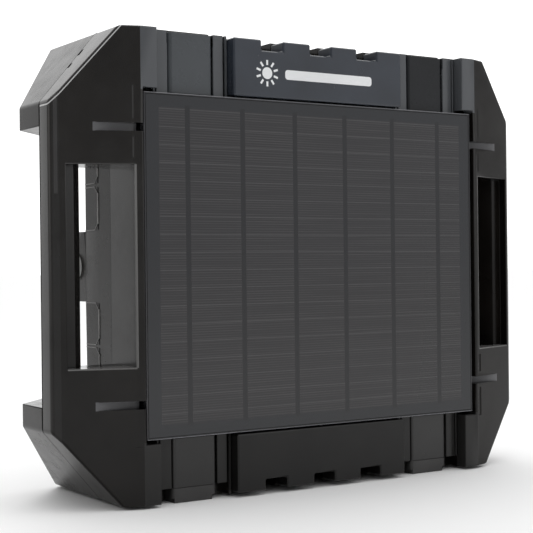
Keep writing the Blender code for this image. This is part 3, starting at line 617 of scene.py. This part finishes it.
def cutSeamSlots(piece, look):
    fallX, fallZ = look["fall"]
    topX, topZ = look["top"]
    down = Vector((fallX, 0, fallZ)).normalized()
    across = math.atan2(-down.z, -down.x)
    for along, length in look["slots"]:
        centre = spot(topX, look["seamDepth"], topZ) + down * along * mm
        bpy.ops.object.select_all(action="DESELECT")
        bpy.ops.mesh.primitive_cube_add(size=1, location=centre, rotation=(0, -across, 0))
        cutter = bpy.context.object
        cutter.scale = (length * mm, look["width"], look["depth"] * 2)
        bpy.ops.object.transform_apply(location=True, rotation=True, scale=True)
        step = piece.modifiers.new("slot", "BOOLEAN")
        step.operation = "DIFFERENCE"
        step.solver = "EXACT"
        step.object = cutter
        bpy.context.view_layer.objects.active = piece
        bpy.ops.object.modifier_apply(modifier=step.name)
        bpy.data.objects.remove(cutter, do_unlink=True)
    bpy.ops.object.select_all(action="DESELECT")
    piece.select_set(True)
    bpy.context.view_layer.objects.active = piece


def roundCase(node):
    piece = mergedCopy(node)
    if node == "front_shell":
        cutSeamSlots(piece, seamSlots)
    mesh = piece.data
    touched = [facesAt(corner.co) for corner in mesh.vertices]
    widest = max(edgeWidths.values())
    groups = {}
    for edge in mesh.edges:
        shared = touched[edge.vertices[0]] & touched[edge.vertices[1]]
        for pair, width in edgeWidths.items():
            if shared.issuperset(pair):
                groups.setdefault(width, []).append(edge.index)
                break
    for width, chosen in groups.items():
        for index in chosen:
            mesh.edges[index].select = True
        bpy.ops.object.mode_set(mode="EDIT")
        bpy.ops.transform.edge_bevelweight(value=width / widest)
        bpy.ops.mesh.select_all(action="DESELECT")
        bpy.ops.object.mode_set(mode="OBJECT")
    bevel = piece.modifiers.new("rounded", "BEVEL")
    bevel.width = widest * mm
    bevel.segments = 3
    bevel.limit_method = "WEIGHT"
    bevel.use_clamp_overlap = False
    bpy.ops.object.modifier_apply(modifier=bevel.name)
    print("rounded", node, sum(len(chosen) for chosen in groups.values()), "edges")
    return finishCopy(piece, node)


for node in ("front_shell", "rear_shell"):
    roundCase(node)
roundings = {
    # node: width in millimetres, segments, and the angle from which an edge is rounded
    "cover_plate_top": (0.35, 2, 25), "cover_plate_bottom": (0.35, 2, 25),
    "cover_block_top_left": (0.3, 2, 25), "cover_block_top_right": (0.3, 2, 25),
    "cover_block_bottom_left": (0.3, 2, 25), "cover_block_bottom_right": (0.3, 2, 25),
    "foot_bottom_left": (1.0, 3, 30), "foot_bottom_right": (1.0, 3, 30),
    "foot_top_left": (1.0, 3, 30), "foot_top_right": (1.0, 3, 30),
    "panel_frame": (0.45, 2, 35), "service_door": (0.6, 2, 35), "switch_ring": (0.6, 3, 35),
    "fence_knob": (0.5, 2, 40), "earth_knob": (0.5, 2, 40), "socket_cap": (0.6, 3, 35),
    "door_lock_lower": (0.3, 2, 40), "door_lock_upper": (0.3, 2, 40),
    "fence_bush": (0.4, 2, 40), "earth_bush": (0.4, 2, 40), "push_button": (0.3, 2, 40),
}
for node, (width, segments, angle) in roundings.items():
    roundByAngle(node, width, segments, angle)
print("stage: rounded copies")


# raised rims round the pads on the left side wall, in a light grey that paints the highlights along
# the pads' edges

padRim = {
    "wall": -185.4,
    "depths": (75.6, 114.0),
    "cutBack": 101.6,
    "levels": [(73.0, 112.4), (31.9, 70.4), (-69.2, -31.9), (-112.4, -71.2)],
    "corner": 6.0 * mm,
    "width": 0.6 * mm,
    "raised": 0.95 * mm,
}


def makePadRims(look):
    for number, (low, high) in enumerate(look["levels"], 1):
        near, far = look["depths"]
        centre = spot(look["wall"], (near + far) / 2, (low + high) / 2)
        bpy.ops.object.select_all(action="DESELECT")
        bpy.ops.mesh.primitive_plane_add(size=1, location=centre,
                                         rotation=(0, math.radians(-90), 0))
        rim = bpy.context.object
        rim.name = "pad_rim_%d" % number
        rim.scale = ((high - low) * mm, (far - near) * mm, 1)
        bpy.ops.object.transform_apply(location=True, rotation=True, scale=True)
        bpy.ops.object.mode_set(mode="EDIT")
        bpy.ops.mesh.select_all(action="SELECT")
        bpy.ops.mesh.bevel(offset=look["corner"], segments=1, affect="VERTICES")
        bpy.ops.mesh.select_mode(type="FACE")
        bpy.ops.mesh.select_all(action="SELECT")
        bpy.ops.mesh.inset(thickness=look["width"], depth=0)
        bpy.ops.mesh.delete(type="FACE")
        bpy.ops.mesh.select_all(action="SELECT")
        bpy.ops.mesh.bisect(plane_co=spot(look["wall"], look["cutBack"], 0),
                            plane_no=(0, 1, 0), clear_outer=True)
        bpy.ops.object.mode_set(mode="OBJECT")
        thick = rim.modifiers.new("raised", "SOLIDIFY")
        thick.thickness = look["raised"]
        thick.offset = 1
        bpy.ops.object.modifier_apply(modifier=thick.name)
        rim.data.materials.append(rimHighlightGrey)
        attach(rim, "case")


rimHighlightZones = [
    # a painted highlight along the front edge of the rims
    (False, (180, 190), (75, 75.8), (-120, 120), (0.55, 0.54, 0.53)),
]
# the rims' light grey is a painted highlight
rimHighlightGrey = mouldedPlastic("rimHighlightGrey", (0.10, 0.098, 0.096), (0.14, 0.138, 0.136), 0.3, 0.4)
paintLightZones(rimHighlightGrey, rimHighlightZones)
makePadRims(padRim)
print("stage: pad rims")


# the mark on the upper cover plate: a plain sun and a plain bar, slightly raised

markLook = {
    "sunCentre": spot(-58.0, -2.5, 168.5),
    "sunRadius": 5.2 * mm,
    "rayInner": 7.2 * mm,
    "rayOuter": 11.6 * mm,
    "rayWidth": 1.9 * mm,
    "rays": 10,
    "barCentre": spot(9.0, -2.5, 168.5),
    "barLength": 96 * mm,
    "barHeight": 8.6 * mm,
    "endRound": 0.32,
    "raised": 0.3 * mm,
}


def makeMark(look):
    made = []
    thick = look["raised"]
    bpy.ops.object.select_all(action="DESELECT")
    bpy.ops.mesh.primitive_cylinder_add(vertices=48, radius=look["sunRadius"], depth=thick,
                                        location=look["sunCentre"],
                                        rotation=(math.radians(90), 0, 0))
    made.append(bpy.context.object)
    for ray in range(look["rays"]):
        angle = 2 * math.pi * ray / look["rays"]
        reach = (look["rayInner"] + look["rayOuter"]) / 2
        offset = Vector((math.sin(angle) * reach, 0, math.cos(angle) * reach))
        bpy.ops.mesh.primitive_cube_add(size=1, location=look["sunCentre"] + offset,
                                        rotation=(0, angle, 0))
        strip = bpy.context.object
        strip.scale = (look["rayWidth"], thick, look["rayOuter"] - look["rayInner"])
        bpy.ops.object.transform_apply(location=False, rotation=False, scale=True)
        made.append(strip)
    bpy.ops.mesh.primitive_cube_add(size=1, location=look["barCentre"])
    bar = bpy.context.object
    bar.scale = (look["barLength"], thick, look["barHeight"])
    bpy.ops.object.transform_apply(location=False, rotation=False, scale=True)
    ends = bar.modifiers.new("ends", "BEVEL")
    ends.width = look["barHeight"] * look["endRound"]
    ends.segments = 6
    ends.limit_method = "WEIGHT"
    bpy.ops.object.mode_set(mode="EDIT")
    bpy.ops.mesh.select_mode(type="EDGE")
    bpy.ops.mesh.select_all(action="DESELECT")
    bpy.ops.object.mode_set(mode="OBJECT")
    for edge in bar.data.edges:
        first, second = (bar.data.vertices[index].co for index in edge.vertices)
        edge.select = abs(first.y - second.y) > thick / 2
    bpy.ops.object.mode_set(mode="EDIT")
    bpy.ops.transform.edge_bevelweight(value=1)
    bpy.ops.object.mode_set(mode="OBJECT")
    bpy.context.view_layer.objects.active = bar
    bpy.ops.object.modifier_apply(modifier=ends.name)
    made.append(bar)
    bpy.ops.object.select_all(action="DESELECT")
    for thing in made:
        thing.select_set(True)
    bpy.context.view_layer.objects.active = bar
    bpy.ops.object.join()
    bpy.ops.object.transform_apply(location=True, rotation=True, scale=True)
    bar.name = "plain_mark"
    bar.data.materials.clear()
    bar.data.materials.append(markWhite)
    bpy.ops.object.shade_smooth_by_angle(angle=math.radians(35))
    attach(bar, "case")


markWhite = mouldedPlastic("markWhite", (0.74, 0.75, 0.76), (0.82, 0.83, 0.84), 0.35, 0.45)
makeMark(markLook)
print("stage: mark")
